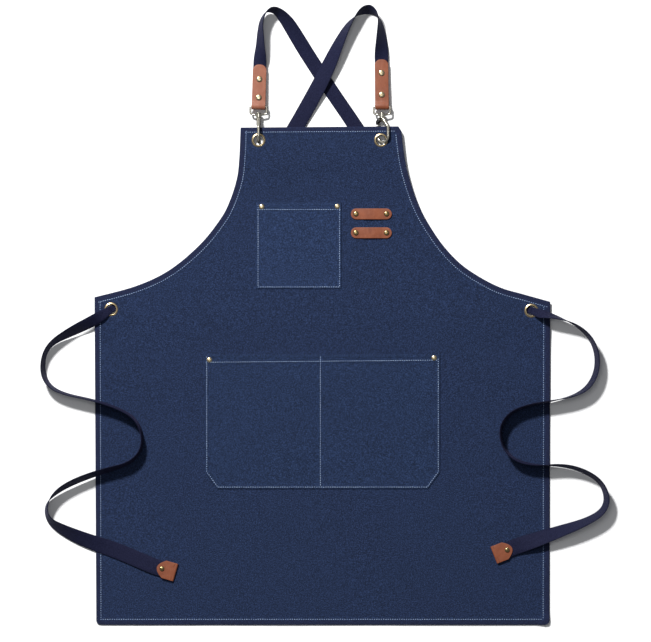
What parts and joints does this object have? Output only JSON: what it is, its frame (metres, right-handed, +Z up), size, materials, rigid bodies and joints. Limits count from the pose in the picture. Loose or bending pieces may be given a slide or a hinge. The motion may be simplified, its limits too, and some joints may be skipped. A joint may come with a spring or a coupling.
{
  "type": "cross-back bib apron",
  "caption": "Canvas bib apron lying flat, with crossed webbing shoulder straps on swivel snap hooks, long waist ties, pockets and riveted leather trim.",
  "frame": {"origin": "on the floor, under the middle of the apron without its waist ties", "axes": "+X across the apron to the right of its front, +Y from the hem to the bib, +Z up out of its front"},
  "size_m": [0.8736, 0.9528, 0.0301],
  "materials": {
    "canvas": "plain-woven cotton canvas, dark navy",
    "webbing": "flat-woven webbing, near-black navy",
    "leather": "smooth tan leather with darker edges",
    "grommet_brass": "antique brass, rubbed bright on the rim",
    "rivet_brass": "pale antique brass, polished dome",
    "nickel": "polished nickel plate",
    "black_gate": "black oxide, satin",
    "thread": "pale blue-grey topstitching"
  },
  "bodies": {
    "root": {"apron_body": "canvas", "chest_pocket": "canvas", "chest_pocket_rivet_caps": "rivet_brass", "chest_pocket_rivet_posts": "rivet_brass", "left_bib_eyelet": "grommet_brass", "left_bib_washer": "grommet_brass", "left_shoulder_strap": "webbing", "left_swivel_ring": "nickel", "left_tie_tip": "leather", "left_tip_rivet_cap": "rivet_brass", "left_tip_rivet_post": "rivet_brass", "left_waist_eyelet": "grommet_brass", "left_waist_tie": "webbing", "left_waist_washer": "grommet_brass", "lower_leather_loop": "leather", "lower_loop_rivet_caps": "rivet_brass", "lower_loop_rivet_posts": "rivet_brass", "lower_pocket": "canvas", "lower_pocket_rivet_caps": "rivet_brass", "lower_pocket_rivet_posts": "rivet_brass", "right_bib_eyelet": "grommet_brass", "right_bib_washer": "grommet_brass", "right_shoulder_strap": "webbing", "right_swivel_ring": "nickel", "right_tie_tip": "leather", "right_tip_rivet_cap": "rivet_brass", "right_tip_rivet_post": "rivet_brass", "right_waist_eyelet": "grommet_brass", "right_waist_tie": "webbing", "right_waist_washer": "grommet_brass", "upper_leather_loop": "leather", "upper_loop_rivet_caps": "rivet_brass", "upper_loop_rivet_posts": "rivet_brass"},
    "left_tab": {"left_strap_tab": "leather", "left_strap_fold": "webbing", "left_tab_rivet_caps": "rivet_brass", "left_tab_rivet_posts": "rivet_brass"},
    "left_hook": {"left_hook": "nickel", "left_gate_pin": "nickel", "left_gate_spring": "nickel"},
    "left_gate": {"left_gate": "black_gate"},
    "right_tab": {"right_strap_tab": "leather", "right_strap_fold": "webbing", "right_tab_rivet_caps": "rivet_brass", "right_tab_rivet_posts": "rivet_brass"},
    "right_hook": {"right_hook": "nickel", "right_gate_pin": "nickel", "right_gate_spring": "nickel"},
    "right_gate": {"right_gate": "black_gate"}
  },
  "joints": [
    {"name": "left_tab_hinge", "type": "hinge", "parent": "root", "child": "left_tab", "pos_m": [-0.098, 0.32, 0.01], "axis": [0.9995, -0.0314, 0], "range_deg": [0, 20]},
    {"name": "right_tab_hinge", "type": "hinge", "parent": "root", "child": "right_tab", "pos_m": [0.0913, 0.32, 0.01], "axis": [1, 0.0087, 0], "range_deg": [0, 20]},
    {"name": "left_swivel", "type": "hinge", "parent": "root", "child": "left_hook", "pos_m": [-0.098, 0.306, 0.01], "axis": [0, 1, 0], "range_deg": [-45, 45]},
    {"name": "right_swivel", "type": "hinge", "parent": "root", "child": "right_hook", "pos_m": [0.0913, 0.306, 0.01], "axis": [0, 1, 0], "range_deg": [-90, 0]},
    {"name": "left_gate_hinge", "type": "hinge", "parent": "left_hook", "child": "left_gate", "pos_m": [-0.098, 0.3002, 0.0074], "axis": [-1, 0, 0], "range_deg": [0, 28], "stiffness_Nm_per_rad": 0.004, "springref_deg": -14.32},
    {"name": "right_gate_hinge", "type": "hinge", "parent": "right_hook", "child": "right_gate", "pos_m": [0.08917, 0.3002, 0.00851], "axis": [-0.5736, 0, 0.8192], "range_deg": [0, 28], "stiffness_Nm_per_rad": 0.004, "springref_deg": -14.32}
  ]
}
